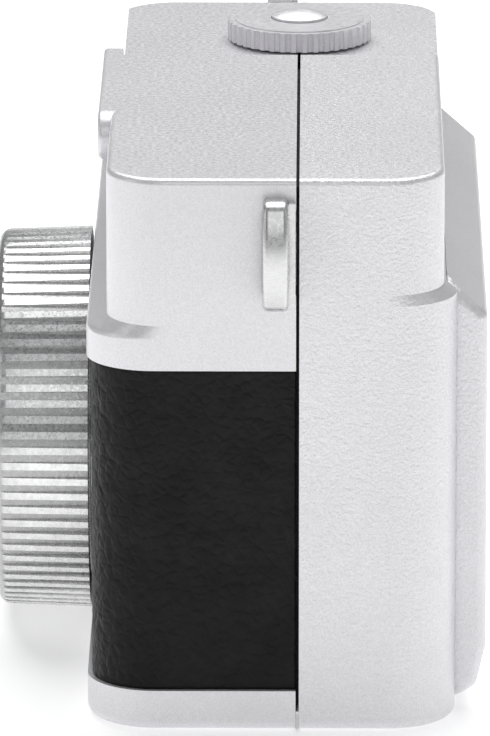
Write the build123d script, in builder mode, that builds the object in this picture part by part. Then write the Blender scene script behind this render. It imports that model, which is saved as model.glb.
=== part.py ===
"""Compact 35 mm viewfinder camera, built from separate pieces.

Millimetres, +Z up. The origin is the mouth of the tripod socket, in the base plane under the lens.
The lens looks along -Y, and the user's left end of the camera is at +X.
"""
import math
import os

from build123d import *

# ---- driving dimensions ----
HEIGHT = 66.0                  # base to raised top
DECK = 63.5                    # lower deck on the user's right
X_LEFT, X_RIGHT = 50.0, -51.5  # the two ends
STEP_X = -13.0                 # where the raised top ends
SEAM = 6.0                     # the two shells meet here
SEAM_GAP = 0.34
Y_FRONT, Y_BELLY = -16.1, -18.5      # upper and lower front faces
Y_BACK, Y_BACK_LOW = 22.9, 24.4      # upper and lower rear faces
Y_DOOR, Y_DOOR_SEAT = 28.0, 23.25    # outer and inner face of the film door
Y_RECESS = 23.2                # floor of the recess that the door closes into
CORNER, CORNER_BACK = 6.8, 7.7
WALL, TOP_WALL = 2.4, 1.4
LIP = 0.7                      # light-trap lip inside the seam
LEDGE_TOP, LEDGE_RISE = 48.6, 1.5
SHOULDER_Z, SHOULDER_SLOPE = 47.8, 0.88    # top of the door's face and its bevel, rise over run
HIDE_Z = (4.8, 43.3)           # leatherette, bottom and top
HIDE_RECESS, HIDE_SINK = 1.3, 0.5
EDGE, BASE_EDGE = 0.7, 1.2

LENS_Z = 24.1
RING_R, RING_R_FRONT, RING_BORE = 23.0, 22.6, 19.0
RING_FRONT, RING_BACK = -30.0, -18.9
RING_TEETH, TOOTH_DEPTH = 76, 0.55
BLADE_PIN = (-14.5, 2.0)       # from the lens axis, for the upper blade
FIT = 0.05                     # radial clearance of turning and sliding fits

KNOB_X, KNOB_Y = -31.5, SEAM   # wind knob, take-up spool and shutter button share this axis
KNOB_R, KNOB_TOP, KNOB_FLUTES = 8.8, 66.1, 40
BUTTON_R, BUTTON_TRAVEL = 3.4, 1.2
SPROCKET_X, SPROCKET_Y = -24.2, 16.6
SPROCKET_R = 4.5
GEAR_MODULE = 0.5
PINION_TEETH, IDLER_TEETH = 12, 18
GEAR_Z, GEAR_H = 54.0, 2.5
PAWL_SPOT, COUNTER_SPOT = (-41.0, -1.0), (-33.0, -5.0)
SHAFT_R, STEM_R = 2.0, 1.0

CASSETTE_X, CASSETTE_Y = 33.0, 8.0
CHAMBER_R = 13.0
PLATE_LOW = (4.6, 5.6)         # chassis plates, bottom and top
PLATE_HIGH = (51.8, 53.4)
GATE_W, GATE_H = 36.0, 24.0
GATE_Y = 20.0
FILM_WIDTH = 35.0
HINGE_X, HINGE_Y = -47.0, 26.0
DOOR_X = (-44.8, 41.5)
OPENING_X, OPENING_Z = (-43.2, 39.5), (5.0, 49.4)
LATCH_X, LATCH_Y = 42.0, 19.6

BEZEL_X, BEZEL_W, BEZEL_H = 0.5, 37.4, 5.8
BEZEL_FRONT, BEZEL_SEAT = -17.65, -15.3
TUNNEL_X, TUNNEL_Z = 8.0, 62.55
LUG_Z, LUG_H, LUG_OUT = 57.4, 13.0, 4.5

SCREW_SPOTS = [(-43.5, -8), (44, -8), (-43.5, 12), (12, 15)]


def save(builder, label):
    """Label one finished piece and write it to its own file."""
    builder.part.label = label
    export_step(builder.part, f"parts/{label}.step")


def along_y(x, z, y):
    """A plane at y whose normal looks backwards, along +Y, with its own x along world X."""
    return Plane(origin=(x, y, z), x_dir=(1, 0, 0), z_dir=(0, 1, 0))


def plan_rect(x0, x1, y0, y1):
    """A rectangle in plan between two corners, in the sketch that is open."""
    with Locations(((x0 + x1) / 2, (y0 + y1) / 2)):
        Rectangle(x1 - x0, y1 - y0)


def block(x0, x1, y0, y1, z0, z1, mode=Mode.ADD):
    """A box between two corners, in the part that is open."""
    with Locations(((x0 + x1) / 2, (y0 + y1) / 2, (z0 + z1) / 2)):
        Box(x1 - x0, y1 - y0, z1 - z0, mode=mode)


def rod(x, y, r, z0, z1, mode=Mode.ADD):
    """An upright cylinder, in the part that is open."""
    with Locations((x, y, (z0 + z1) / 2)):
        Cylinder(r, z1 - z0, mode=mode)


def tube_y(r, y0, y1, x=0.0, z=LENS_Z, mode=Mode.ADD):
    """A cylinder that lies along Y, in the part that is open."""
    with BuildSketch(along_y(x, z, y0)) as disc:
        Circle(r)
    extrude(disc.sketch, amount=y1 - y0, mode=mode)


def turned_y(points, mode=Mode.ADD):
    """Revolve an outline of (radius, y) points about the lens axis, in the part that is open."""
    with BuildSketch(Plane(origin=(0, 0, LENS_Z), x_dir=(1, 0, 0), z_dir=(0, 0, 1))) as half:
        with BuildLine():
            Polyline(*points, close=True)
        make_face()
    revolve(half.sketch, axis=Axis((0, 0, LENS_Z), (0, 1, 0)), mode=mode)


def gear(x, y, teeth, z0, height, bore):
    """A spur gear with plain trapezium teeth, in the part that is open."""
    pitch_r = GEAR_MODULE * teeth / 2
    root_r = pitch_r - 1.2 * GEAR_MODULE
    tip_r = pitch_r + 0.85 * GEAR_MODULE
    half_root = 0.42 * math.pi * GEAR_MODULE / 2 * 1.3
    half_tip = 0.42 * math.pi * GEAR_MODULE / 2 * 0.55
    with BuildSketch(Plane.XY.offset(z0)) as profile:
        with Locations((x, y)):
            Circle(root_r)
            with PolarLocations(0, teeth):
                Polygon((root_r - 0.2, -half_root), (tip_r, -half_tip), (tip_r, half_tip),
                        (root_r - 0.2, half_root), align=None)
        with Locations((x, y)):
            Circle(bore, mode=Mode.SUBTRACT)
    extrude(profile.sketch, amount=height)


def coil(x, y, r, wire, z0, z1, turns):
    """A compression spring about an upright axis, in the part that is open."""
    height = z1 - z0 - wire
    with BuildLine() as path:
        Helix(pitch=height / turns, height=height, radius=r, center=(x, y, z0 + wire / 2))
    with BuildSketch(Plane(origin=path.line @ 0, z_dir=path.line % 0)) as section:
        Circle(wire / 2)
    sweep(sections=section.sketch, path=path.line, is_frenet=True)


# ---- the two shells, in outline ----
def end_outline(side, top):
    """Corners of the shells' outline seen from the front, moved in by side and, at the top, by top."""
    return [
        (X_RIGHT + side, side),
        (X_LEFT - side, side),
        (X_LEFT - side, HEIGHT - top),
        (STEP_X + side, HEIGHT - top),
        (STEP_X + side, DECK - top),
        (X_RIGHT + side, DECK - top),
    ]


def seam_lip(y0, y1):
    """The light-trap lip: a thin frame that lines both shells where they meet."""
    with BuildPart(mode=Mode.PRIVATE) as lip:
        for inset, mode in ((0.0, Mode.ADD), (LIP, Mode.SUBTRACT)):
            with BuildSketch(Plane(origin=(0, y0, 0), x_dir=(1, 0, 0), z_dir=(0, -1, 0))) as face:
                with BuildLine():
                    Polyline(*end_outline(WALL + inset, TOP_WALL + inset), close=True)
                make_face()
            extrude(face.sketch, amount=-(y1 - y0), mode=mode)
        rod(KNOB_X, KNOB_Y, 5.0, DECK - 4, DECK + 1, Mode.SUBTRACT)
        rod(CASSETTE_X, CASSETTE_Y, 10.4, 0, 6, Mode.SUBTRACT)
        rod(0, 0, 6.6, 0, 6, Mode.SUBTRACT)
        block(TUNNEL_X - 6.1, TUNNEL_X + 6.1, y0 - 1, y1 + 1, TUNNEL_Z - 3, HEIGHT, Mode.SUBTRACT)
    return lip.part


def front_plan(y_front, radius, inset=0.0, y_rear=SEAM - SEAM_GAP / 2, x_end=X_LEFT):
    """The front shell's outline in plan, with both front corners rounded."""
    with BuildSketch(mode=Mode.PRIVATE) as plan:
        plan_rect(X_RIGHT + inset, x_end - inset, y_front + inset, y_rear)
        fillet(plan.vertices().group_by(Axis.Y)[0], radius - inset)
    return plan.sketch


def back_plan(y_back, radius, inset=0.0, y_front=SEAM + SEAM_GAP / 2):
    """The rear shell's outline in plan, with both rear corners rounded."""
    with BuildSketch(mode=Mode.PRIVATE) as plan:
        plan_rect(X_RIGHT + inset, X_LEFT - inset, y_front, y_back - inset)
        fillet(plan.vertices().group_by(Axis.Y)[-1], radius - inset)
    return plan.sketch


def cavity(y_closed, y_open, radius):
    """The hollow of one shell: closed at one y, open at the seam, low under the lower deck."""
    y0, y1 = min(y_closed, y_open), max(y_closed, y_open)
    with BuildPart(mode=Mode.PRIVATE) as hollow:
        block(X_RIGHT + WALL, X_LEFT - WALL, y0, y1, WALL, HEIGHT - TOP_WALL)
        picked = hollow.edges().filter_by(Axis.Z)
        picked = picked.filter_by(lambda e: abs(e.center().Y - y_closed) < 0.01)
        fillet(picked, radius)
        block(X_RIGHT, STEP_X + WALL, y0 - 1, y1 + 1, DECK - TOP_WALL, HEIGHT, Mode.SUBTRACT)
    return hollow.part


def base_cuts():
    """Holes in the base for the screws and everything that is worked from below."""
    for x, y in SCREW_SPOTS:
        rod(x, y, 1.0, -1, WALL + 0.1, Mode.SUBTRACT)
        rod(x, y, 2.0, -1, 1.3, Mode.SUBTRACT)
    rod(CASSETTE_X, CASSETTE_Y, 10.4, -1, WALL + 0.1, Mode.SUBTRACT)
    rod(SPROCKET_X, SPROCKET_Y, 2.6, -1, WALL + 0.1, Mode.SUBTRACT)
    rod(LATCH_X, LATCH_Y, 1.6, -1, WALL + 0.1, Mode.SUBTRACT)
    rod(0, 0, 5.0, -1, WALL + 0.1, Mode.SUBTRACT)
    rod(COUNTER_SPOT[0], COUNTER_SPOT[1] - 4.5, 2.6, -1, WALL + 0.1, Mode.SUBTRACT)


def lug_slots():
    """Slots at the seam that hold the two strap lugs."""
    for x in (X_LEFT, X_RIGHT):
        block(x - 2.4, x + 2.4, 1.9, SEAM, LUG_Z - 5, LUG_Z + 5, Mode.SUBTRACT)


def front_shell():
    with BuildPart() as shell:
        with BuildSketch():
            add(front_plan(Y_FRONT, CORNER))
        extrude(amount=HEIGHT)
        block(X_RIGHT - 1, STEP_X, Y_FRONT - 1, SEAM + 1, DECK, HEIGHT + 1, Mode.SUBTRACT)
        block(X_RIGHT - 1, STEP_X, Y_FRONT - 1, Y_FRONT + 0.8, LEDGE_TOP, DECK + 1, Mode.SUBTRACT)
        rims = shell.edges().group_by(Axis.Z)[-1]
        fillet(rims.filter_by(lambda e: e.center().Y < SEAM - 0.5), EDGE)
        with BuildSketch():
            add(front_plan(Y_BELLY, CORNER + 1.2))
        extrude(amount=LEDGE_TOP - LEDGE_RISE)
        with BuildSketch(Plane.XY.offset(LEDGE_TOP - LEDGE_RISE)):
            add(front_plan(Y_BELLY, CORNER + 1.2))
        with BuildSketch(Plane.XY.offset(LEDGE_TOP)):
            add(front_plan(Y_FRONT, CORNER))
        loft()
        brow = shell.edges().filter_by(lambda e: abs(e.center().Z - LEDGE_TOP + LEDGE_RISE) < 0.01)
        fillet(brow.filter_by(lambda e: e.center().Y < SEAM - 0.5), 0.8)
        base_rim = shell.edges().group_by(Axis.Z)[0]
        fillet(base_rim.filter_by(lambda e: e.center().Y < SEAM - 0.5), BASE_EDGE)
        add(cavity(Y_FRONT + WALL, SEAM, CORNER - WALL), mode=Mode.SUBTRACT)
        with BuildSketch(Plane.XY.offset(HIDE_Z[0])):
            add(front_plan(Y_BELLY - 1, CORNER + 2.2, -1.0))
            add(front_plan(Y_BELLY, CORNER + 1.2, HIDE_RECESS), mode=Mode.SUBTRACT)
        extrude(amount=HIDE_Z[1] - HIDE_Z[0], mode=Mode.SUBTRACT)
        tube_y(17.0, -20, Y_FRONT + WALL + 1, mode=Mode.SUBTRACT)
        with BuildSketch(along_y(BEZEL_X, HEIGHT - BEZEL_H / 2, BEZEL_FRONT)):
            SlotOverall(BEZEL_W, BEZEL_H)
        extrude(amount=BEZEL_SEAT - BEZEL_FRONT, mode=Mode.SUBTRACT)
        block(TUNNEL_X - 5, TUNNEL_X + 5, BEZEL_SEAT - 1, -12, 61.2, 63.9, Mode.SUBTRACT)
        block(-14, -2, BEZEL_SEAT - 1, -12, 61.2, 61.9, Mode.SUBTRACT)
        rod(KNOB_X, KNOB_Y, 5.0, DECK - 4, DECK + 1, Mode.SUBTRACT)
        base_cuts()
        lug_slots()
    save(shell, "front_shell")


def rear_shell():
    shoulder_run = Y_BACK_LOW - Y_BACK
    shoulder_z = SHOULDER_Z + (Y_DOOR - Y_BACK_LOW) * SHOULDER_SLOPE
    with BuildPart() as shell:
        with BuildSketch():
            add(back_plan(Y_BACK, CORNER))
        extrude(amount=HEIGHT)
        block(X_RIGHT - 1, STEP_X, SEAM, Y_BACK + 1, DECK, HEIGHT + 1, Mode.SUBTRACT)
        rims = shell.edges().group_by(Axis.Z)[-1]
        fillet(rims.filter_by(lambda e: e.center().Y > SEAM + 0.5), EDGE)
        with BuildSketch():
            add(back_plan(Y_BACK_LOW, CORNER_BACK))
        extrude(amount=shoulder_z)
        with BuildSketch(Plane.XY.offset(shoulder_z)):
            add(back_plan(Y_BACK_LOW, CORNER_BACK))
        with BuildSketch(Plane.XY.offset(shoulder_z + shoulder_run * SHOULDER_SLOPE)):
            add(back_plan(Y_BACK, CORNER))
        loft()
        base_rim = shell.edges().group_by(Axis.Z)[0]
        fillet(base_rim.filter_by(lambda e: e.center().Y > SEAM + 0.5), BASE_EDGE)
        add(cavity(Y_BACK - WALL, SEAM, CORNER - WALL), mode=Mode.SUBTRACT)
        block(OPENING_X[0], OPENING_X[1], Y_BACK - WALL - 1, Y_BACK_LOW + 1,
              OPENING_Z[0], OPENING_Z[1], Mode.SUBTRACT)
        block(DOOR_X[0] - 0.2, DOOR_X[1] + 0.2, Y_RECESS, Y_BACK_LOW + 1, 0.8, HEIGHT, Mode.SUBTRACT)
        block(OPENING_X[0] - 0.8, OPENING_X[1] + 0.8, Y_RECESS - 0.8, Y_BACK_LOW + 1,
              OPENING_Z[0] - 0.8, OPENING_Z[1] + 0.4, Mode.SUBTRACT)
        block(TUNNEL_X - 4.5, TUNNEL_X + 4.5, Y_BACK - WALL - 1, Y_BACK + 1,
              TUNNEL_Z - 1.3, TUNNEL_Z + 1.3, Mode.SUBTRACT)
        rod(HINGE_X, HINGE_Y, 1.8, 16.3, 35.7)
        block(HINGE_X - 1.0, HINGE_X + 1.0, 22.0, HINGE_Y, 16.3, 35.7)
        rod(HINGE_X, HINGE_Y, 0.8, 10, 40, Mode.SUBTRACT)
        rod(KNOB_X, KNOB_Y, 5.0, DECK - 4, DECK + 1, Mode.SUBTRACT)
        base_cuts()
        add(seam_lip(SEAM - 2.2, SEAM + 2.0))
    save(shell, "rear_shell")


def leatherette():
    with BuildPart() as hide:
        with BuildSketch(Plane.XY.offset(HIDE_Z[0])):
            add(front_plan(Y_BELLY, CORNER + 1.2, HIDE_SINK))
            add(front_plan(Y_BELLY, CORNER + 1.2, HIDE_RECESS, SEAM + 5), mode=Mode.SUBTRACT)
        extrude(amount=HIDE_Z[1] - HIDE_Z[0])
        tube_y(18.3, -20, -10, mode=Mode.SUBTRACT)
    save(hide, "leatherette_wrap")


def chassis_plate(z0, z1):
    """One plate of the chassis with the holes that both share, in the part that is open."""
    with BuildSketch(Plane.XY.offset(z0)) as outline:
        plan_rect(X_RIGHT + 3.3, X_LEFT - 3.2, -8.5, GATE_Y)
        fillet(outline.vertices().group_by(Axis.Y)[-1], 5.2)
    extrude(outline.sketch, amount=z1 - z0)
    rod(KNOB_X, KNOB_Y, SHAFT_R + FIT, z0 - 1, z1 + 1, Mode.SUBTRACT)
    rod(SPROCKET_X, SPROCKET_Y, 1.5 + FIT, z0 - 1, z1 + 1, Mode.SUBTRACT)


def chassis():
    with BuildPart() as bottom:
        chassis_plate(*PLATE_LOW)
        rod(0, 0, 6.6, 0, 8, Mode.SUBTRACT)
        rod(CASSETTE_X, CASSETTE_Y, 3.05, 0, 10, Mode.SUBTRACT)
        block(40.0, 50, 17.9, 25, 0, 10, Mode.SUBTRACT)
        for x, y in SCREW_SPOTS:
            rod(x, y, 0.9, 0, 10, Mode.SUBTRACT)
        rod(COUNTER_SPOT[0], COUNTER_SPOT[1], 1.0, 2.6, PLATE_LOW[0])
    save(bottom, "chassis_bottom_plate")
    with BuildPart() as top:
        chassis_plate(*PLATE_HIGH)
        rod(CASSETTE_X, CASSETTE_Y, 6.5, 50, 60, Mode.SUBTRACT)
        idler_x, idler_y = idler_spot()
        rod(idler_x, idler_y, 1.0, PLATE_HIGH[1], GEAR_Z + GEAR_H + 0.6)
        rod(PAWL_SPOT[0], PAWL_SPOT[1], 0.8, PLATE_HIGH[1], 58.6)
    save(top, "chassis_top_plate")
    with BuildPart() as well:
        rod(CASSETTE_X, CASSETTE_Y, CHAMBER_R + 0.8, PLATE_LOW[1], PLATE_HIGH[0])
        rod(CASSETTE_X, CASSETTE_Y, CHAMBER_R, PLATE_LOW[1], PLATE_HIGH[0], Mode.SUBTRACT)
        block(CASSETTE_X - 15, CASSETTE_X + 15, 14.0, 30, PLATE_LOW[1], PLATE_HIGH[0], Mode.SUBTRACT)
    save(well, "cassette_well")


def light_box():
    y0, y1 = -8.5, GATE_Y
    wall_x = GATE_W / 2 + 0.6
    with BuildPart() as box:
        block(-wall_x, wall_x, y0, y1, LENS_Z - GATE_H / 2 - 1.0, LENS_Z + GATE_H / 2 + 1.0)
        for x in (-wall_x, wall_x - 0.8):
            block(x, x + 0.8, y0, y1, PLATE_LOW[1], PLATE_HIGH[0])
        with BuildSketch(along_y(0, LENS_Z, y0 - 0.1)):
            Rectangle(18, 18)
        with BuildSketch(along_y(0, LENS_Z, y1 + 0.1)):
            Rectangle(GATE_W, GATE_H)
        loft(mode=Mode.SUBTRACT)
    save(box, "light_box")


def gate_plate():
    with BuildPart() as plate:
        block(-19, 19, GATE_Y, GATE_Y + 0.7, 5.8, 42.6)
        for z in (LENS_Z - 16.2, LENS_Z - 12.9, LENS_Z + 12.9, LENS_Z + 16.2):
            block(-19, 19, GATE_Y + 0.7, GATE_Y + 1.0, z - 0.5, z + 0.5)
        block(-GATE_W / 2, GATE_W / 2, GATE_Y - 1, GATE_Y + 2,
              LENS_Z - GATE_H / 2, LENS_Z + GATE_H / 2, Mode.SUBTRACT)
    save(plate, "film_gate_plate")
    with BuildPart() as baffle:
        with BuildSketch(along_y(0, LENS_Z, 4.0)):
            Rectangle(25.6, 20.2)
            Rectangle(21, 14, mode=Mode.SUBTRACT)
        extrude(amount=0.5)
    save(baffle, "light_baffle")


def bow(flank, crown, half):
    """A D-shaped outline whose straight side is at 0 and whose curved side reaches out to crown."""
    with BuildLine() as outline:
        Polyline((flank, half), (0, half), (0, -half), (flank, -half))
        ThreePointArc((flank, -half), (crown, 0), (flank, half))
    return outline.line


def body_fittings():
    with BuildPart() as seal:
        y0, y1 = Y_RECESS - 0.8, Y_RECESS - 0.05
        block(OPENING_X[0] - 0.8, OPENING_X[1] + 0.8, y0, y1, OPENING_Z[0] - 0.8, OPENING_Z[1] + 0.4)
        block(OPENING_X[0], OPENING_X[1], y0 - 1, y1 + 1, OPENING_Z[0], OPENING_Z[1], Mode.SUBTRACT)
    save(seal, "door_light_seal")
    with BuildPart() as bush:
        rod(0, 0, 5.0, 0, WALL)
        rod(0, 0, 6.5, WALL, 4.4)
        rod(0, 0, 4.6, 4.4, 8.5)
        rod(0, 0, 2.65, -1, 7.5, Mode.SUBTRACT)
    save(bush, "tripod_bush")
    for label, x, side in (("strap_lug_left", X_LEFT, 1), ("strap_lug_right", X_RIGHT, -1)):
        with BuildPart() as lug:
            with BuildSketch(along_y(x, LUG_Z, 1.95)) as loop:
                make_face(bow(side * 2.6, side * LUG_OUT, LUG_H / 2).edges())
                fillet(loop.vertices().group_by(Axis.X)[-1 if side > 0 else 0], 1.6)
                make_face(bow(side * 1.5, side * (LUG_OUT - 1.5), LUG_H / 2 - 2.0).edges(), mode=Mode.SUBTRACT)
            extrude(amount=3.0)
            rims = lug.edges().filter_by(lambda e: abs(e.center().X - x) > 0.3)
            fillet(rims.filter_by(lambda e: abs(e.center().Z - LUG_Z) > LUG_H / 2 - 1.9
                                  or abs(e.center().X - x) > LUG_OUT - 0.3), 0.7)
            block(min(x, x + side * 1.4), max(x, x + side * 1.4), 4.95, 5.75, LUG_Z - 6.1, LUG_Z + 6.1)
            block(min(x - side * 2.4, x), max(x - side * 2.4, x), 1.95, 5.75, LUG_Z - 4.9, LUG_Z + 4.9)
        save(lug, label)


def finder():
    z_mid = HEIGHT - BEZEL_H / 2
    with BuildPart() as bezel:
        with BuildSketch(along_y(BEZEL_X, z_mid, BEZEL_FRONT)):
            SlotOverall(BEZEL_W, BEZEL_H)
        extrude(amount=BEZEL_SEAT - BEZEL_FRONT)
        fillet(bezel.faces().sort_by(Axis.Y)[0].edges(), 0.5)
        for x0, x1 in ((TUNNEL_X - 5, TUNNEL_X + 5), (-14, -2)):
            block(x0, x1, BEZEL_FRONT - 1, BEZEL_SEAT + 1, 61.2, 64.9, Mode.SUBTRACT)
    save(bezel, "window_bezel")
    for label, x0, x1 in (("finder_window", TUNNEL_X - 5, TUNNEL_X + 5), ("frame_window", -14, -2)):
        with BuildPart() as pane:
            block(x0, x1, -16.9, BEZEL_SEAT, 61.2, 64.9)
        save(pane, label)
    with BuildPart() as tunnel:
        block(TUNNEL_X - 6, TUNNEL_X + 6, -13.4, 20.3, TUNNEL_Z - 2.0, TUNNEL_Z + 2.0)
        block(TUNNEL_X - 5.3, TUNNEL_X + 5.3, -14, 21, TUNNEL_Z - 1.4, TUNNEL_Z + 1.4, Mode.SUBTRACT)
    save(tunnel, "finder_tunnel")
    with BuildPart() as objective:
        block(TUNNEL_X - 5.3, TUNNEL_X + 5.3, -12.4, -10.4, TUNNEL_Z - 1.4, TUNNEL_Z + 1.4)
        with Locations((TUNNEL_X, -1.0, TUNNEL_Z)):
            Sphere(10.6, mode=Mode.SUBTRACT)
    save(objective, "finder_objective")
    with BuildPart() as eyepiece:
        block(TUNNEL_X - 4.45, TUNNEL_X + 4.45, 20.4, Y_BACK - 0.4, TUNNEL_Z - 1.25, TUNNEL_Z + 1.25)
    save(eyepiece, "finder_eyepiece")


def lens():
    with BuildPart() as ring:
        with BuildSketch(along_y(0, LENS_Z, RING_FRONT)):
            Circle(RING_R - TOOTH_DEPTH)
            with PolarLocations(0, RING_TEETH):
                ridge = math.pi * RING_R / RING_TEETH
                Polygon((RING_R - 1.2, -ridge * 0.62), (RING_R, -ridge * 0.42), (RING_R, ridge * 0.42),
                        (RING_R - 1.2, ridge * 0.62), align=None)
            Circle(RING_BORE, mode=Mode.SUBTRACT)
        extrude(amount=RING_BACK - RING_FRONT)
        with BuildSketch(Plane(origin=(0, 0, LENS_Z), x_dir=(1, 0, 0), z_dir=(0, 0, 1))) as crown:
            with BuildLine():
                Polyline((RING_BORE - 1, RING_FRONT), (RING_R_FRONT, RING_FRONT), (RING_R, RING_BACK),
                         (RING_BORE - 1, RING_BACK), close=True)
            make_face()
            front_corner = crown.vertices().group_by(Axis.Y)[0].sort_by(Axis.X)[-1]
            back_corner = crown.vertices().group_by(Axis.Y)[-1].sort_by(Axis.X)[-1]
            fillet(front_corner, 1.5)
            chamfer(back_corner, 0.4)
        revolve(axis=Axis((0, 0, LENS_Z), (0, 1, 0)), mode=Mode.INTERSECT)
    save(ring, "focus_ring")
    with BuildPart() as flange:
        turned_y([(16.6, -18.6), (18.1, -18.6), (18.1, -17.2), (16.95, -17.2), (16.95, -13.4), (16.6, -13.4)])
    save(flange, "lens_flange")
    with BuildPart() as barrel:
        r_out, r_in = RING_BORE - FIT, 16.2 + FIT
        turned_y([(r_in, -28.0), (r_out, -28.0), (r_out, -18.7), (16.55, -18.7), (16.55, -13.4), (r_in, -13.4)])
    save(barrel, "lens_barrel")
    with BuildPart() as cell:
        turned_y([(16.2, -27.6), (13.4, -27.6), (9.6, -26.2), (9.6, -22.0), (8.2, -22.0), (8.2, -13.9),
                  (9.2, -13.9), (9.2, -21.0), (10.6, -24.6), (15.0, -24.6), (15.0, -13.9), (16.2, -13.9)])
    save(cell, "lens_cell")
    with BuildPart() as name_ring:
        turned_y([(13.4, -28.1), (16.0, -28.1), (16.0, -27.6), (13.4, -27.6)])
        with BuildSketch(along_y(0, LENS_Z, -28.2)):
            with PolarLocations(14.7, 2):
                Circle(0.5)
        extrude(amount=0.4, mode=Mode.SUBTRACT)
    save(name_ring, "name_ring")
    for label, r, y0, y1, bulge in (("front_element", 9.55, -26.0, -22.0, 1.0),
                                    ("rear_element", 8.15, -17.6, -15.2, 0.7)):
        dome = (r * r + bulge * bulge) / (2 * bulge)
        with BuildPart() as glass:
            with BuildSketch(Plane(origin=(0, 0, LENS_Z), x_dir=(1, 0, 0), z_dir=(0, 0, 1))):
                with BuildLine():
                    Line((0, y0 - bulge + 0.2), (0, y1))
                    Line((0, y1), (r, y1))
                    Line((r, y1), (r, y0 + 0.2))
                    RadiusArc((r, y0 + 0.2), (0, y0 - bulge + 0.2), dome)
                make_face()
            revolve(axis=Axis((0, 0, LENS_Z), (0, 1, 0)))
        save(glass, label)
    with BuildPart() as iris:
        turned_y([(4.2, -20.1), (8.15, -20.1), (8.15, -19.8), (4.2, -19.8)])
    save(iris, "aperture_plate")


def shutter():
    for label, y0, y1 in (("shutter_plate", -13.2, -12.5), ("shutter_cover", -10.0, -9.3)):
        with BuildPart() as plate:
            with BuildSketch(along_y(0, LENS_Z, y0)):
                Rectangle(40, 38)
                Circle(8.2 if label == "shutter_plate" else 9.0, mode=Mode.SUBTRACT)
            extrude(amount=y1 - y0)
            if label == "shutter_plate":
                for side in (1, -1):
                    tube_y(0.8, y1, -10.0, BLADE_PIN[0], LENS_Z + side * BLADE_PIN[1])
                for x in (-18.5, 18.5):
                    tube_y(1.2, y1, -10.0, x, LENS_Z - 17)
        save(plate, label)
    for label, side, y0 in (("shutter_blade_upper", -1, -12.1), ("shutter_blade_lower", 1, -11.2)):
        with BuildPart() as blade:
            with BuildSketch(along_y(0, LENS_Z, y0)):
                with BuildLine():
                    Polyline((BLADE_PIN[0] - 2.2, side * 0.8), (BLADE_PIN[0] + 1.5, -side), (9.2, -side),
                             (9.2, side * 4.0))
                    Spline((9.2, side * 4.0), (0.0, side * 9.6), (BLADE_PIN[0], side * 4.6))
                    Polyline((BLADE_PIN[0], side * 4.6), (BLADE_PIN[0] - 2.2, side * 3.0),
                             (BLADE_PIN[0] - 2.2, side * 0.8))
                make_face()
                with Locations((BLADE_PIN[0], side * BLADE_PIN[1])):
                    Circle(0.8 + FIT, mode=Mode.SUBTRACT)
            extrude(amount=0.5)
        save(blade, label)


def idler_spot():
    """The idler's axis, at equal distances from the pinion and the sprocket gear."""
    arm = GEAR_MODULE * (PINION_TEETH + IDLER_TEETH) / 2
    dx, dy = SPROCKET_X - KNOB_X, SPROCKET_Y - KNOB_Y
    span = math.hypot(dx, dy)
    rise = math.sqrt(arm * arm - span * span / 4)
    return KNOB_X + dx / 2 + rise * dy / span, KNOB_Y + dy / 2 - rise * dx / span


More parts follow.
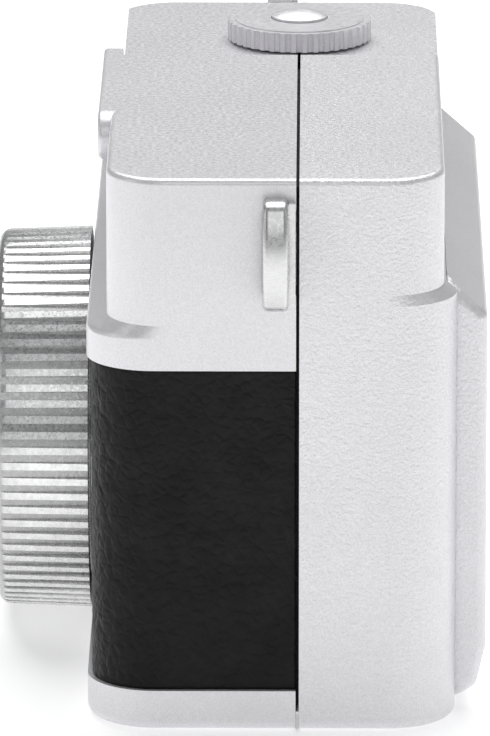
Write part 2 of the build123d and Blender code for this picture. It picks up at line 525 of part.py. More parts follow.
def winding():
    with BuildPart() as knob:
        with BuildSketch(Plane.XY.offset(DECK + 0.3)):
            with Locations((KNOB_X, KNOB_Y)):
                Circle(KNOB_R)
            with Locations((KNOB_X, KNOB_Y)):
                with PolarLocations(KNOB_R + 0.12, KNOB_FLUTES):
                    Circle(0.42, mode=Mode.SUBTRACT)
        extrude(amount=KNOB_TOP - DECK - 0.3)
        rod(KNOB_X, KNOB_Y, KNOB_R - 0.9, DECK + 0.3, KNOB_TOP + 0.15)
        rod(KNOB_X, KNOB_Y, 4.6, 59.2, DECK + 0.3)
        rod(KNOB_X, KNOB_Y, BUTTON_R + 0.1, 60.6, KNOB_TOP + 1, Mode.SUBTRACT)
        rod(KNOB_X, KNOB_Y, STEM_R + 0.1, 50, 70, Mode.SUBTRACT)
    save(knob, "wind_knob")
    with BuildPart() as button:
        rod(KNOB_X, KNOB_Y, BUTTON_R, 64.2, 67.3)
        with Locations((KNOB_X, KNOB_Y, 67.3 - 8)):
            Sphere(8, mode=Mode.INTERSECT)
        rod(KNOB_X, KNOB_Y, STEM_R, 4.6, 64.3)
    save(button, "shutter_button")
    with BuildPart() as spring:
        coil(KNOB_X, KNOB_Y, 2.2, 0.4, 60.7, 64.1, 4)
    save(spring, "button_spring")
    with BuildPart() as shaft:
        rod(KNOB_X, KNOB_Y, SHAFT_R, 4.0, 59.2)
        rod(KNOB_X, KNOB_Y, STEM_R + 0.1, 3, 60, Mode.SUBTRACT)
    save(shaft, "wind_shaft")
    with BuildPart() as spool:
        rod(KNOB_X, KNOB_Y, 4.3, 5.9, 51.4)
        rod(KNOB_X, KNOB_Y, 7.5, 5.9, 6.5)
        rod(KNOB_X, KNOB_Y, 7.5, 42.0, 42.8)
        rod(KNOB_X, KNOB_Y, SHAFT_R, 5, 52, Mode.SUBTRACT)
        block(KNOB_X - 5, KNOB_X - SHAFT_R - 0.3, KNOB_Y - 0.5, KNOB_Y + 0.5, 12, 36, Mode.SUBTRACT)
    save(spool, "take_up_spool")
    with BuildPart() as pinion:
        gear(KNOB_X, KNOB_Y, PINION_TEETH, GEAR_Z, GEAR_H, SHAFT_R)
    save(pinion, "wind_pinion")
    with BuildPart() as ratchet:
        with BuildSketch(Plane.XY.offset(57.1)):
            with Locations((KNOB_X, KNOB_Y)):
                Circle(4.4)
                with PolarLocations(0, 16):
                    Polygon((3.9, 0.0), (5.3, 0.1), (4.35, 1.75), (3.6, 1.4), align=None)
                Circle(SHAFT_R, mode=Mode.SUBTRACT)
        extrude(amount=1.0)
    save(ratchet, "ratchet_wheel")
    with BuildPart() as pawl:
        px, py = PAWL_SPOT
        with BuildSketch(Plane.XY.offset(57.1)):
            with BuildLine():
                Polyline((px - 1.6, py - 0.4), (px - 0.4, py - 1.7), (px + 6.0, py + 2.2),
                         (px + 5.6, py + 3.0), (px - 0.6, py + 1.5), close=True)
            make_face()
            with Locations((px, py)):
                Circle(0.8 + FIT, mode=Mode.SUBTRACT)
        extrude(amount=1.0)
    save(pawl, "wind_pawl")
    ix, iy = idler_spot()
    with BuildPart() as idler:
        gear(0, 0, IDLER_TEETH, GEAR_Z, GEAR_H, 1.0 + FIT)
    toward = math.degrees(math.atan2(KNOB_Y - iy, KNOB_X - ix))
    with BuildPart() as placed:
        add(idler.part.rotate(Axis.Z, mesh_angle(toward, PINION_TEETH, IDLER_TEETH)).translate((ix, iy, 0)))
    save(placed, "idler_gear")
    with BuildPart() as small:
        gear(0, 0, PINION_TEETH, GEAR_Z, GEAR_H, 1.5)
    with BuildPart() as sprocket_gear:
        add(small.part.rotate(Axis.Z, sprocket_phase(ix, iy, toward)).translate((SPROCKET_X, SPROCKET_Y, 0)))
    save(sprocket_gear, "sprocket_gear")
    with BuildPart() as sprocket:
        rod(SPROCKET_X, SPROCKET_Y, 1.5, 4.9, GEAR_Z + GEAR_H + 0.5)
        rod(SPROCKET_X, SPROCKET_Y, SPROCKET_R - 0.7, 8.2, 40.0)
        for z in (LENS_Z - 14.1, LENS_Z + 14.1):
            rod(SPROCKET_X, SPROCKET_Y, SPROCKET_R, z - 1.6, z + 1.6)
            with BuildSketch(Plane.XY.offset(z - 0.7)):
                with Locations((SPROCKET_X, SPROCKET_Y)):
                    with PolarLocations(0, 6):
                        Polygon((4.0, -0.9), (SPROCKET_R + 0.5, -0.4), (SPROCKET_R + 0.5, 0.4),
                                (4.0, 0.9), align=None)
            extrude(amount=1.4)
    save(sprocket, "film_sprocket")
    with BuildPart() as counter:
        cx, cy = COUNTER_SPOT
        rod(cx, cy, 7.6, 2.7, 3.5)
        rod(cx, cy, 1.0 + FIT, 2, 5, Mode.SUBTRACT)
        with BuildSketch(Plane.XY.offset(2.6)):
            with Locations((cx, cy)):
                with PolarLocations(6.2, 38):
                    Rectangle(1.4, 0.3)
        extrude(amount=0.3, mode=Mode.SUBTRACT)
    save(counter, "frame_counter_disc")
    with BuildPart() as pane:
        rod(COUNTER_SPOT[0], COUNTER_SPOT[1] - 4.5, 2.6, 0.4, 2.2)
    save(pane, "counter_window")


def mesh_angle(toward, driver_teeth, own_teeth):
    """Turn of a gear that puts a gap where a driver with a tooth on its own +X axis meets it."""
    driver_step, own_step = 360 / driver_teeth, 360 / own_teeth
    contact = toward + 180
    driver_offset = contact - round(contact / driver_step) * driver_step
    own_tooth = toward + driver_offset * driver_step / driver_step * own_step / driver_step
    return own_tooth + own_step / 2


def sprocket_phase(ix, iy, toward):
    """Turn of the sprocket's gear that puts its gap on the idler's tooth."""
    own_step, idler_step = 360 / PINION_TEETH, 360 / IDLER_TEETH
    idler_turn = mesh_angle(toward, PINION_TEETH, IDLER_TEETH)
    contact = math.degrees(math.atan2(SPROCKET_Y - iy, SPROCKET_X - ix))
    offset = contact - idler_turn
    offset -= round(offset / idler_step) * idler_step
    return contact + 180 + offset * own_step / idler_step + own_step / 2


def rewinding():
    cx, cy = CASSETTE_X, CASSETTE_Y
    with BuildPart() as cup:
        rod(cx, cy, 10.35, 0.2, 4.4)
        rod(cx, cy, 9.4, -1, 3.2, Mode.SUBTRACT)
        rod(cx, cy, 3.0 + FIT, 0, 5, Mode.SUBTRACT)
    save(cup, "rewind_cup")
    with BuildPart() as spindle:
        rod(cx, cy, 3.0, 2.9, 6.4)
        block(cx - 2.4, cx + 2.4, cy - 0.5, cy + 0.5, 6.4, 9.2)
        rod(cx, cy, 1.0, 6.4, 9.0)
    save(spindle, "rewind_spindle")
    with BuildPart() as disc:
        rod(cx, cy, 9.0, 1.9, 2.9)
        rod(cx + 6.0, cy, 2.2, 1, 4, Mode.SUBTRACT)
        for side in (1, -1):
            y0, y1 = sorted((cy + side * 1.55, cy + side * 2.5))
            block(cx - 5.4, cx - 3.2, y0, y1, 0.45, 2.9)
        block(cx - 5.6, cx - 3.0, cy - 1.55, cy + 1.55, 1.8, 2.5, Mode.SUBTRACT)
        with BuildSketch(Plane(origin=(0, cy - 3, 0), x_dir=(1, 0, 0), z_dir=(0, 1, 0))):
            with Locations((cx - 4.3, -1.2)):
                Circle(0.5)
        extrude(amount=6, mode=Mode.SUBTRACT)
    save(disc, "rewind_disc")
    with BuildPart() as crank:
        block(cx - 4.9, cx + 6.0, cy - 1.2, cy + 1.2, 0.7, 1.5)
        rod(cx + 6.0, cy, 1.9, 0.7, 1.5)
        rod(cx + 6.0, cy, 0.7, 1.4, 2.9)
        with BuildSketch(Plane(origin=(0, cy - 1.2, 0), x_dir=(1, 0, 0), z_dir=(0, 1, 0))):
            with Locations((cx - 4.3, -1.2)):
                Circle(0.95)
        extrude(amount=2.4)
        with BuildSketch(Plane(origin=(0, cy - 3, 0), x_dir=(1, 0, 0), z_dir=(0, 1, 0))):
            with Locations((cx - 4.3, -1.2)):
                Circle(0.5 + FIT)
        extrude(amount=6, mode=Mode.SUBTRACT)
    save(crank, "rewind_crank")
    with BuildPart() as knob:
        rod(cx + 6.0, cy, 1.7, 1.7, 2.85)
        rod(cx + 6.0, cy, 0.7 + FIT, 1, 4, Mode.SUBTRACT)
    save(knob, "crank_knob")
    with BuildPart() as pin:
        with BuildSketch(Plane(origin=(0, cy - 2.5, 0), x_dir=(1, 0, 0), z_dir=(0, 1, 0))):
            with Locations((cx - 4.3, -1.2)):
                Circle(0.5)
        extrude(amount=5)
    save(pin, "crank_pin")
    with BuildPart() as release:
        rod(SPROCKET_X, SPROCKET_Y, 2.5, 0.3, 1.9)
        rod(SPROCKET_X, SPROCKET_Y, 1.1, 1.9, 3.6)
    save(release, "rewind_release_button")
    with BuildPart() as spring:
        coil(SPROCKET_X, SPROCKET_Y, 1.75, 0.3, 1.95, 4.55, 4)
    save(spring, "release_spring")


def film_door():
    x0, x1 = DOOR_X
    with BuildPart() as door:
        with BuildSketch(Plane(origin=(x0, 0, 0), x_dir=(0, 1, 0), z_dir=(1, 0, 0))) as profile:
            with BuildLine():
                top = SHOULDER_Z + (Y_DOOR - Y_DOOR_SEAT) * SHOULDER_SLOPE
                Polyline((Y_DOOR_SEAT, 1.0), (Y_BACK_LOW, 1.0), (26.9, 2.9), (Y_DOOR, 7.6), (Y_DOOR, SHOULDER_Z),
                         (Y_DOOR_SEAT, top), close=True)
            make_face()
            fillet(profile.vertices().filter_by(lambda v: v.X > 26), 1.2)
        extrude(amount=x1 - x0)
        with BuildSketch(along_y(0, 0, Y_DOOR_SEAT - 1)) as face:
            with Locations(((x0 + x1) / 2, -(top + 1.0) / 2)):
                Rectangle(x1 - x0, top - 1.0)
            fillet(face.vertices().group_by(Axis.X)[-1], 3.0)
        extrude(amount=Y_DOOR - Y_DOOR_SEAT + 2, mode=Mode.INTERSECT)
        fillet(door.faces().sort_by(Axis.Y)[-1].edges().sort_by(Axis.X)[-1:], 1.2)
        block(OPENING_X[0] + 0.3, OPENING_X[1] - 0.3, Y_DOOR_SEAT - 1, 26.4,
              OPENING_Z[0] + 0.3, OPENING_Z[1] - 1.2, Mode.SUBTRACT)
        for z0, z1 in ((6.0, 16.0), (36.0, 46.0)):
            rod(HINGE_X, HINGE_Y, 1.8, z0, z1)
            block(HINGE_X, x0 + 0.5, 25.2, 27.4, z0, z1)
        rod(HINGE_X, HINGE_Y, 0.8 + FIT, 0, 60, Mode.SUBTRACT)
        for z in (18.0, 38.0):
            block(37.6, 38.8, 18.5, 26.5, z - 2, z + 2)
    save(door, "film_door")
    with BuildPart() as pin:
        rod(HINGE_X, HINGE_Y, 0.8, 5.8, 46.2)
    save(pin, "hinge_pin")
    with BuildPart() as plate:
        block(-19, 20, 21.4, 22.4, 6.2, 42.0)
        for x in (-12, 12):
            tube_y(1.0, 22.4, 24.0, x)
        fillet(plate.edges().filter_by(Axis.Y).group_by(SortBy.LENGTH)[0].filter_by(GeomType.LINE), 0.4)
    save(plate, "pressure_plate")
    with BuildPart() as spring:
        with BuildSketch(Plane.XY.offset(LENS_Z - 4)):
            with BuildLine():
                ThreePointArc((-9, 26.35), (0, 22.8), (9, 26.35))
                Line((9, 26.35), (8.5, 26.35))
                ThreePointArc((8.5, 26.35), (0, 23.2), (-8.5, 26.35))
                Line((-8.5, 26.35), (-9, 26.35))
            make_face()
        extrude(amount=8)
    save(spring, "pressure_spring")
    with BuildPart() as latch:
        block(LATCH_X - 1.3, LATCH_X + 1.3, LATCH_Y - 1.0, LATCH_Y + 0.5, 6.0, 47.0)
        rod(LATCH_X, LATCH_Y - 0.25, 1.1, 0.3, 6.0)
        rod(LATCH_X, LATCH_Y - 0.25, 0.6, 47.0, 48.6)
        for z in (22.2, 42.2):
            block(39.2, LATCH_X, LATCH_Y - 0.3, LATCH_Y + 0.5, z - 1, z + 1)
    save(latch, "door_latch")
    with BuildPart() as spring:
        coil(LATCH_X, LATCH_Y - 0.25, 1.0, 0.3, 47.1, 51.7, 5)
    save(spring, "latch_spring")


def fasteners():
    with BuildPart() as screws:
        for x, y in SCREW_SPOTS:
            rod(x, y, 1.9, 0.3, 1.3)
            rod(x, y, 0.88, 1.3, PLATE_LOW[1])
            block(x - 1.2, x + 1.2, y - 0.25, y + 0.25, 0.2, 0.75, Mode.SUBTRACT)
            block(x - 0.25, x + 0.25, y - 1.2, y + 1.2, 0.2, 0.75, Mode.SUBTRACT)
    save(screws, "base_screws")


def main():
    os.makedirs("parts", exist_ok=True)
    front_shell()
    rear_shell()
    leatherette()
    chassis()
    light_box()
    gate_plate()
    body_fittings()
    finder()
    lens()
    shutter()
    winding()
    rewinding()
    film_door()
    fasteners()


main()
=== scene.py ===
"""Looks for the compact film camera: materials, the leatherette, studio light and the view."""
import math

import bmesh
import bpy
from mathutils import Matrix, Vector, noise


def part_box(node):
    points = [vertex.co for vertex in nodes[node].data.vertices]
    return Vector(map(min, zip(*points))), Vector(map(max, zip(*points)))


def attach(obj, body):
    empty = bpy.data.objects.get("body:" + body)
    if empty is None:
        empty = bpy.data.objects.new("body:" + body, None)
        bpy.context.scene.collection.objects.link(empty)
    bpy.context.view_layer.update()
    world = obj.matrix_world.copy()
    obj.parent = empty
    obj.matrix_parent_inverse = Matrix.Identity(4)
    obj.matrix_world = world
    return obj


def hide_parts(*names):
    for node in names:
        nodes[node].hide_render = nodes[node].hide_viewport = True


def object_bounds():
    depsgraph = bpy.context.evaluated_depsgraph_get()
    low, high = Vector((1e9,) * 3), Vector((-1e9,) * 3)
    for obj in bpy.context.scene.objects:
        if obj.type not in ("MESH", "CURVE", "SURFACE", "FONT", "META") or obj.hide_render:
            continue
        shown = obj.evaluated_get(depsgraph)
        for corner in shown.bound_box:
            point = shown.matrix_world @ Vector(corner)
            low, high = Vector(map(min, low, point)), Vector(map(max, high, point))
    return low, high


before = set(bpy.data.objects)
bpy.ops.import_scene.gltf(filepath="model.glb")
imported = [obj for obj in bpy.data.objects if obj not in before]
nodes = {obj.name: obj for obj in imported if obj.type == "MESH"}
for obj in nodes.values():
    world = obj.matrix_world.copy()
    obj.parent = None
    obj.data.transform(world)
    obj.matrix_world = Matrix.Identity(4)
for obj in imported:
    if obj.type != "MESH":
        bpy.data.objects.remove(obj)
cad_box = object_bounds()
MM = 0.001
SEAM_HALF_GAP = 0.17 * MM      # half the gap between the two shells
SEAM_SHADE_REACH = 0.4 * MM          # how far the painted seam shade's ramp goes from the seam's middle plane
SEAM_SHADE_STOPS = (0.44, 0.5)       # parts of that reach at which the painted shade leaves black and is white
TOOTH_DEPTH = 0.55 * MM        # depth of the focus ring's grooves
LATHE_STRETCH = 40             # how many times finer noise is along a turned piece's axis
MIX_FACTOR, MIX_A, MIX_B = 0, 6, 7     # inputs of a Mix node by place, as several share a name
MIX_RESULT = 2                 # its colour output, by place


# ---- node helpers ----
class Nodes:
    """A new material with a Principled shader, and short ways to add nodes to it."""

    def __init__(self, name, color, metallic=0.0, roughness=0.5, **sockets):
        self.mat = bpy.data.materials.new(name)
        self.mat.use_nodes = True
        self.tree = self.mat.node_tree
        self.shader = self.tree.nodes["Principled BSDF"]
        self.set(self.shader, "Base Color", (*color, 1.0))
        self.set(self.shader, "Metallic", metallic)
        self.set(self.shader, "Roughness", roughness)
        for key, value in sockets.items():
            self.set(self.shader, key.replace("_", " "), value)

    def set(self, node, socket, value):
        node.inputs[socket].default_value = value

    def link(self, a, b):
        self.tree.links.new(a, b)

    def add(self, kind, **props):
        node = self.tree.nodes.new(kind)
        for key, value in props.items():
            setattr(node, key, value)
        return node

    def coords(self, stretch=(1, 1, 1)):
        """Object coordinates in metres, stretched along the axes."""
        coord = self.add("ShaderNodeTexCoord")
        mapping = self.add("ShaderNodeMapping")
        self.set(mapping, "Scale", stretch)
        self.link(coord.outputs["Object"], mapping.inputs["Vector"])
        return mapping.outputs["Vector"]

    def noise(self, size_mm, detail=3.0, stretch=(1, 1, 1)):
        """Noise whose features are about size_mm across."""
        tex = self.add("ShaderNodeTexNoise")
        self.set(tex, "Scale", 1.0 / (size_mm * MM))
        self.set(tex, "Detail", detail)
        self.link(self.coords(stretch), tex.inputs["Vector"])
        return tex.outputs["Fac"]

    def cells(self, size_mm, feature="F1"):
        """Distances in a pattern of cells about size_mm across."""
        tex = self.add("ShaderNodeTexVoronoi", feature=feature)
        self.set(tex, "Scale", 1.0 / (size_mm * MM))
        self.link(self.coords(), tex.inputs["Vector"])
        return tex.outputs["Distance"]

    def ramp(self, value, low, high, at=(0.0, 1.0)):
        """value turned into a number or colour between low and high."""
        ramp = self.add("ShaderNodeValToRGB")
        for stop, colour, place in zip(ramp.color_ramp.elements, (low, high), at):
            stop.color = (colour, colour, colour, 1) if isinstance(colour, float) else (*colour, 1)
            stop.position = place
        self.link(value, ramp.inputs["Fac"])
        return ramp.outputs["Color"]

    def math(self, operation, a, b):
        """One operation on two values, each a number or another node's output."""
        node = self.add("ShaderNodeMath", operation=operation)
        for socket, value in zip(node.inputs, (a, b)):
            if isinstance(value, (int, float)):
                socket.default_value = value
            else:
                self.link(value, socket)
        return node.outputs[0]

    def multiply(self, a, b):
        """Two colours multiplied."""
        mix = self.add("ShaderNodeMix", data_type="RGBA", blend_type="MULTIPLY")
        mix.inputs[MIX_FACTOR].default_value = 1.0
        self.link(a, mix.inputs[MIX_A])
        self.link(b, mix.inputs[MIX_B])
        return mix.outputs[MIX_RESULT]

    def painted_seam_shade(self):
        """Painted shade: black on the faces inside the seam between the two shells, where shade falls
        in the gap, and white elsewhere.
        """
        parts = self.add("ShaderNodeSeparateXYZ")
        self.link(self.coords(), parts.inputs["Vector"])
        seam_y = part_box("front_shell")[1][1] + SEAM_HALF_GAP
        away = self.math("ABSOLUTE", self.math("SUBTRACT", parts.outputs["Y"], seam_y), 0.0)
        # black is painted shade in the seam's gap, white leaves the paint as it is
        return self.ramp(self.math("DIVIDE", away, SEAM_SHADE_REACH), grey(0.02), grey(1.0), SEAM_SHADE_STOPS)

    def color(self, value):
        self.link(value, self.shader.inputs["Base Color"])

    def roughness(self, value):
        self.link(value, self.shader.inputs["Roughness"])

    def bump(self, height, depth_mm, strength=1.0, under=None):
        """Relief depth_mm deep, laid on top of the relief given as under."""
        node = self.add("ShaderNodeBump")
        self.set(node, "Strength", strength)
        self.set(node, "Distance", depth_mm * MM)
        self.link(height, node.inputs["Height"])
        if under:
            self.link(under, node.inputs["Normal"])
        self.link(node.outputs["Normal"], self.shader.inputs["Normal"])
        return node.outputs["Normal"]


def grey(value):
    return (value, value, value)


# ---- materials ----
def silver_paint(name, grain_mm, depth_mm, base, seam_shade=True):
    """Silver lacquer with fine flakes, faint clouds and an orange-peel grain, and, unless turned off,
    painted shade in the seam between the two shells.
    """
    m = Nodes(name, grey(base), metallic=0.5, roughness=0.36)
    low, high = (base * 0.91, base * 0.90, base * 0.93), (base * 1.04, base * 1.03, base * 1.06)
    flake = m.ramp(m.noise(0.16, 1.0), low, high, (0.3, 0.7))
    cloud = m.ramp(m.noise(14.0, 2.0), grey(0.965), grey(1.0), (0.35, 0.65))
    shade = m.multiply(flake, cloud)
    # the seam's painted shade is multiplied into the colour unless it is turned off
    m.color(m.multiply(shade, m.painted_seam_shade()) if seam_shade else shade)
    m.roughness(m.ramp(m.noise(0.5, 2.0), 0.30, 0.44, (0.3, 0.7)))
    peel = m.bump(m.noise(grain_mm, 2.0), depth_mm)
    m.bump(m.noise(grain_mm * 0.35, 1.0), depth_mm * 0.35, under=peel)
    return m.mat


def hide():
    """Black leatherette: shallow creases, fine pebbles, and duller and glossier patches."""
    m = Nodes("black_hide", grey(0.01), roughness=0.5, Specular_IOR_Level=0.16)
    m.color(m.ramp(m.noise(5.0, 3.0), grey(0.006), grey(0.011), (0.3, 0.7)))
    m.roughness(m.ramp(m.noise(1.1, 3.0), 0.36, 0.56, (0.3, 0.7)))
    crease = m.bump(m.ramp(m.cells(1.3, "DISTANCE_TO_EDGE"), 0.0, 1.0, (0.0, 0.22)), 0.06, 0.8)
    m.bump(m.noise(0.32, 3.0), 0.03, 0.7, under=crease)
    return m.mat


def turned_metal(name, base, roughness, axis):
    """Metal turned on a lathe: fine rings about one axis."""
    m = Nodes(name, grey(base), metallic=1.0, roughness=roughness)
    stretch = [1, 1, 1]
    stretch[axis] = LATHE_STRETCH
    rings = m.noise(0.9, 2.0, stretch)
    m.color(m.ramp(rings, grey(base * 0.92), grey(min(1.0, base * 1.05)), (0.35, 0.65)))
    m.roughness(m.ramp(m.noise(0.4, 2.0), roughness * 0.8, roughness * 1.25, (0.3, 0.7)))
    m.bump(rings, 0.01, 0.5)
    return m.mat


def knurled_metal():
    """The focus ring: tooth tips in the metal's own colour, and grooves darkened with painted shade.
    """
    m = Nodes("knurled_metal", grey(0.9), metallic=0.85, roughness=0.28)
    coord = m.add("ShaderNodeTexCoord")
    shift = m.add("ShaderNodeMapping")
    low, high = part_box("focus_ring")
    centre = (Vector(low) + Vector(high)) / 2
    m.set(shift, "Location", (-centre.x, -centre.y, -centre.z))
    m.link(coord.outputs["Object"], shift.inputs["Vector"])
    flat = m.add("ShaderNodeVectorMath", operation="MULTIPLY")
    flat.inputs[1].default_value = (1, 0, 1)
    m.link(shift.outputs["Vector"], flat.inputs[0])
    length = m.add("ShaderNodeVectorMath", operation="LENGTH")
    m.link(flat.outputs["Vector"], length.inputs[0])
    outer = (high[0] - low[0]) / 2
    depth = m.math("DIVIDE", m.math("SUBTRACT", outer, length.outputs["Value"]), TOOTH_DEPTH)
    # painted shade: the deeper into a groove, the darker the colour
    groove_shade = m.ramp(depth, grey(0.99), grey(0.52), (0.45, 1.0))
    wear = m.ramp(m.noise(0.7, 3.0), grey(0.86), grey(1.0), (0.35, 0.6))
    m.color(m.multiply(groove_shade, wear))
    m.roughness(m.ramp(m.noise(0.35, 3.0), 0.2, 0.4, (0.3, 0.7)))
    m.bump(m.noise(0.25, 2.0), 0.012, 0.6)
    return m.mat


def chrome():
    """Bright plating with faint smears."""
    m = Nodes("bright_chrome", grey(0.86), metallic=1.0, roughness=0.13)
    m.color(m.ramp(m.noise(3.0, 3.0), grey(0.80), grey(0.90), (0.3, 0.7)))
    m.roughness(m.ramp(m.noise(0.8, 4.0), 0.09, 0.2, (0.35, 0.7)))
    m.bump(m.noise(0.5, 2.0), 0.008, 0.4)
    return m.mat


def black_lacquer():
    """Dull black paint of the parts inside."""
    m = Nodes("black_lacquer", grey(0.02), roughness=0.55)
    m.color(m.ramp(m.noise(2.0, 3.0), grey(0.014), grey(0.028), (0.3, 0.7)))
    m.roughness(m.ramp(m.noise(0.5, 2.0), 0.5, 0.7, (0.3, 0.7)))
    m.bump(m.noise(0.2, 2.0), 0.01, 0.6)
    return m.mat


def moulded_plastic():
    """Dark plastic of the spool, sprocket and finder tunnel."""
    m = Nodes("moulded_plastic", grey(0.03), roughness=0.42)
    m.color(m.ramp(m.noise(4.0, 2.0), grey(0.024), grey(0.04), (0.3, 0.7)))
    m.roughness(m.ramp(m.noise(0.6, 2.0), 0.36, 0.5, (0.3, 0.7)))
    m.bump(m.noise(0.15, 1.0), 0.008, 0.6)
    return m.mat


def foam():
    """The door's light seal, full of small pores."""
    m = Nodes("seal_foam", grey(0.02), roughness=0.95)
    m.color(m.ramp(m.cells(0.25), grey(0.008), grey(0.03), (0.1, 0.6)))
    m.bump(m.cells(0.25), 0.08, 1.0)
    return m.mat


def brass():
    """Brass of the gear train, a little tarnished."""
    m = Nodes("gear_brass", (0.72, 0.5, 0.2), metallic=1.0, roughness=0.3)
    m.color(m.ramp(m.noise(2.0, 3.0), (0.6, 0.4, 0.15), (0.8, 0.57, 0.25), (0.3, 0.7)))
    m.roughness(m.ramp(m.noise(0.5, 3.0), 0.22, 0.42, (0.3, 0.7)))
    m.bump(m.noise(0.3, 2.0), 0.01, 0.5)
    return m.mat


def glass(name, tint, roughness):
    """Tinted glass with a thin coat."""
    m = Nodes(name, tint, roughness=roughness, Transmission_Weight=1.0, IOR=1.52, Coat_Weight=0.4)
    m.color(m.ramp(m.noise(9.0, 2.0), tuple(c * 0.93 for c in tint), tint, (0.3, 0.7)))
    m.roughness(m.ramp(m.noise(1.5, 3.0), roughness * 0.6, roughness * 1.6 + 0.01, (0.35, 0.7)))
    m.bump(m.noise(20.0, 1.0), 0.002, 0.2)
    return m.mat


def paint_nodes():
    """Give every CAD node a detailed material."""
    front = silver_paint("silver_front", 0.5, 0.02, 0.83)
    rear = silver_paint("silver_rear", 0.38, 0.075, 0.84)
    # no painted seam shade on the dial, the button and the window bezel
    dial = silver_paint("silver_dial", 0.55, 0.008, 0.83, seam_shade=False)
    ring, bright, lacquer, plastic = knurled_metal(), chrome(), black_lacquer(), moulded_plastic()
    lathe_y = turned_metal("turned_lens_metal", 0.82, 0.26, 1)
    lathe_z = turned_metal("turned_knob_metal", 0.84, 0.27, 2)
    satin = turned_metal("satin_lug_metal", 0.72, 0.3, 2)
    steel = turned_metal("steel", 0.6, 0.34, 2)
    spring = turned_metal("spring_steel", 0.5, 0.22, 2)
    gears, seal = brass(), foam()
    optics = glass("coated_glass", (0.86, 0.88, 1.0), 0.01)
    window = glass("smoked_glass", (0.3, 0.32, 0.34), 0.03)
    looks = {
        front: "front_shell",
        rear: "rear_shell film_door",
        ring: "focus_ring",
        dial: "wind_knob shutter_button window_bezel",
        satin: "strap_lug_left strap_lug_right",
        bright: "rewind_crank crank_knob name_ring rewind_release_button lens_flange",
        lathe_y: "lens_barrel",
        lathe_z: "rewind_disc",
        steel: "wind_shaft rewind_spindle hinge_pin crank_pin base_screws rewind_cup film_gate_plate "
               "pressure_plate door_latch ratchet_wheel wind_pawl tripod_bush",
        gears: "wind_pinion idler_gear sprocket_gear",
        lacquer: "chassis_top_plate chassis_bottom_plate light_box cassette_well lens_cell "
                 "shutter_plate shutter_cover shutter_blade_upper shutter_blade_lower "
                 "aperture_plate light_baffle",
        plastic: "take_up_spool finder_tunnel film_sprocket frame_counter_disc",
        seal: "door_light_seal",
        optics: "front_element rear_element finder_objective",
        window: "finder_window frame_window counter_window finder_eyepiece",
        spring: "button_spring release_spring latch_spring pressure_spring",
    }
    for material, names in looks.items():
        for name in names.split():
            mesh = nodes[name].data
            mesh.materials.clear()
            mesh.materials.append(material)


# ---- leatherette ----
HIDE_CORNER = 7.5 * MM         # plan radius of the leatherette's outer face
HIDE_THICK = 0.8 * MM
HIDE_STEP = 0.28 * MM          # grid size of its outer face
HIDE_ROLL = (0.35 * MM, 0.16 * MM)     # height and depth of its rolled edges
HIDE_LENS_HOLE = 18.6 * MM     # radius of its opening for the lens
FOLD_DEPTH, WRINKLE_DEPTH, PORE_HEIGHT = 0.085, 0.045, 0.018   # mm


def hide_path():
    """Points and outward normals along the outer face in plan, from one seam round to the other."""
    low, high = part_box("leatherette_wrap")
    x0, x1, y0, y1 = low[0], high[0], low[1], high[1]
    r = HIDE_CORNER
    out = []

    def straight(a, b, normal):
        steps = max(2, round((Vector(b) - Vector(a)).length / HIDE_STEP))
        for i in range(steps):
            out.append((Vector(a).lerp(Vector(b), i / steps), Vector(normal)))

    def corner(centre, start):
        steps = round(r * math.pi / 2 / HIDE_STEP)
        for i in range(steps):
            angle = math.radians(start) - math.pi / 2 * i / steps
            normal = Vector((math.cos(angle), math.sin(angle)))
            out.append((Vector(centre) + normal * r, normal))

    straight((x1, y1), (x1, y0 + r), (1, 0))
    corner((x1 - r, y0 + r), 0)
    straight((x1 - r, y0), (x0 + r, y0), (0, -1))
    corner((x0 + r, y0 + r), -90)
    straight((x0, y0 + r), (x0, y1), (-1, 0))
    out.append((Vector((x0, y1)), Vector((-1, 0))))
    return out


def hide_relief(point):
    """Height of the leatherette's folds, wrinkles and pores at a point, in metres."""
    p = point * 1000
    warp = Vector((noise.noise(p * 0.16), noise.noise(p * 0.16 + Vector((7, 3, 1))), 0.0)) * 2.4
    folds = 1.0 - abs(noise.noise((p + warp) * 0.34)) * 2.2
    wrinkles = 1.0 - abs(noise.noise((p - warp) * 0.85)) * 2.0
    pores = noise.noise(p * 2.1)
    sunk = -FOLD_DEPTH * max(0.0, folds) ** 5 - WRINKLE_DEPTH * max(0.0, wrinkles) ** 4
    return MM * (sunk + PORE_HEIGHT * pores)


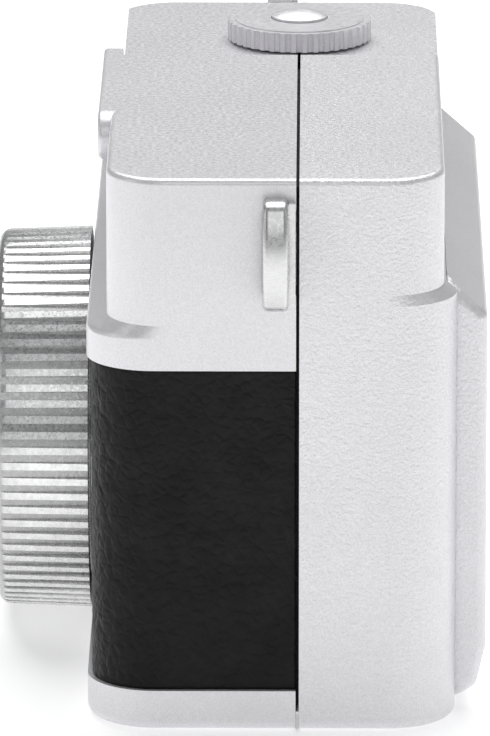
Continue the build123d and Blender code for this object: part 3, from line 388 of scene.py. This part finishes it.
def leatherette():
    """The leatherette as a creased skin with rolled edges, closed at the back."""
    low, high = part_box("leatherette_wrap")
    ring_low, ring_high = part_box("focus_ring")
    lens = Vector((0.0, 0.0, (ring_low[2] + ring_high[2]) / 2))
    path = hide_path()
    rows = round((high[2] - low[2]) / HIDE_STEP)
    mesh = bmesh.new()
    skin, back = [], []
    for plan, normal in path:
        column, behind = [], []
        for j in range(rows + 1):
            z = low[2] + (high[2] - low[2]) * j / rows
            point = Vector((plan.x, plan.y, z))
            rim = min(z - low[2], high[2] - z) / HIDE_ROLL[0]
            roll = -HIDE_ROLL[1] * max(0.0, 1.0 - rim) ** 2
            rise = hide_relief(point) + roll
            outward = Vector((normal.x, normal.y, 0.0))
            column.append(mesh.verts.new(point + outward * min(rise, 0.0)))
            behind.append(mesh.verts.new(point - outward * HIDE_THICK))
        skin.append(column)
        back.append(behind)

    def open_for_lens(i, j):
        """True for the front face's squares round the lens."""
        if abs(path[i][1].y + 1) > 1e-6:
            return False
        centre = skin[i][j].co
        return math.hypot(centre.x - lens.x, centre.z - lens.z) < HIDE_LENS_HOLE

    for i in range(len(path) - 1):
        for j in range(rows):
            if open_for_lens(i, j):
                continue
            mesh.faces.new((skin[i][j], skin[i][j + 1], skin[i + 1][j + 1], skin[i + 1][j]))
            mesh.faces.new((back[i][j], back[i + 1][j], back[i + 1][j + 1], back[i][j + 1]))
    close_rim(mesh, skin, back)
    data = bpy.data.meshes.new("leatherette_skin")
    bmesh.ops.delete(mesh, geom=[v for v in mesh.verts if not v.link_faces], context="VERTS")
    bmesh.ops.recalc_face_normals(mesh, faces=mesh.faces)
    mesh.to_mesh(data)
    mesh.free()
    data.shade_smooth()
    piece = bpy.data.objects.new("leatherette_skin", data)
    bpy.context.collection.objects.link(piece)
    data.materials.append(hide())
    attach(piece, "camera_body")
    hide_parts("leatherette_wrap")


def close_rim(mesh, skin, back):
    """Join the outer face to the back along every open edge."""
    twin = {}
    for column, behind in zip(skin, back):
        twin.update(zip(column, behind))
    for edge in [e for e in mesh.edges if e.is_boundary and e.verts[0] in twin and e.verts[1] in twin]:
        a, b = edge.verts
        mesh.faces.new((a, b, twin[b], twin[a]))


# ---- studio ----
FLOOR_SIZE = 8.0               # metres, as are the next two
FLOOR_GAP = 0.0001             # between the floor and the camera's lowest point
LIGHT_AIM = (0.0, 0.0, 0.035)  # near the middle of the camera
SOFTBOXES = [                  # name, place and size in metres, power in watts
    ("key", (1.0, 0.1, 0.65), (0.7, 0.6), 1.3),
    ("top", (-0.5, 0.0, 1.2), (1.4, 1.4), 17.0),
    ("front_fill", (0.35, -1.1, 0.5), (0.4, 0.6), 0.8),
    ("back_fill", (0.3, 1.1, 0.6), (0.3, 0.6), 0.4),
]


def floor():
    """A wide white floor that glows a little, so that it fades into the background."""
    m = Nodes("studio_floor", grey(0.93), roughness=0.85)
    m.color(m.ramp(m.noise(60.0, 2.0), grey(0.92), grey(0.94), (0.3, 0.7)))
    m.set(m.shader, "Emission Color", (1, 1, 1, 1))
    m.set(m.shader, "Emission Strength", 0.4)
    bpy.ops.mesh.primitive_plane_add(size=FLOOR_SIZE, location=(0, 0, cad_box[0][2] - FLOOR_GAP))
    plane = bpy.context.object
    plane.name = "studio_floor"
    plane.data.materials.append(m.mat)


def area_light(name, place, size, power):
    """A rectangular softbox aimed at LIGHT_AIM."""
    data = bpy.data.lights.new(name, "AREA")
    data.shape = "RECTANGLE"
    data.size, data.size_y = size
    data.energy = power
    light = bpy.data.objects.new(name, data)
    light.location = place
    light.rotation_euler = (Vector(LIGHT_AIM) - Vector(place)).to_track_quat("-Z", "Y").to_euler()
    bpy.context.collection.objects.link(light)


def lighting():
    """A pale studio all round, and the softboxes."""
    world = bpy.data.worlds.new("studio")
    bpy.context.scene.world = world
    world.use_nodes = True
    background = world.node_tree.nodes["Background"]
    background.inputs["Color"].default_value = (0.93, 0.94, 0.96, 1)
    background.inputs["Strength"].default_value = 0.25
    for name, place, size, power in SOFTBOXES:
        area_light(name, place, size, power)
    bpy.context.scene.view_settings.view_transform = "Standard"


def camera():
    """A long lens on the camera's left end, a little above it, as in the photograph."""
    near_end, eye_distance = 50 * MM, 1028 * MM
    eye_side, eye_height = 8 * MM, 323 * MM
    pitch, yaw = math.radians(15.2), math.radians(0.433)
    data = bpy.data.cameras.new("view")
    data.lens, data.sensor_width = 453.0, 36.0
    data.clip_start, data.clip_end = 0.05, 50.0
    eye = bpy.data.objects.new("view", data)
    eye.location = (near_end + eye_distance, eye_side, eye_height)
    forward = Vector((-math.cos(pitch), -math.sin(yaw), -math.sin(pitch)))
    eye.rotation_euler = forward.to_track_quat("-Z", "Y").to_euler()
    bpy.context.collection.objects.link(eye)
    bpy.context.scene.camera = eye


paint_nodes()
leatherette()
floor()
lighting()
camera()
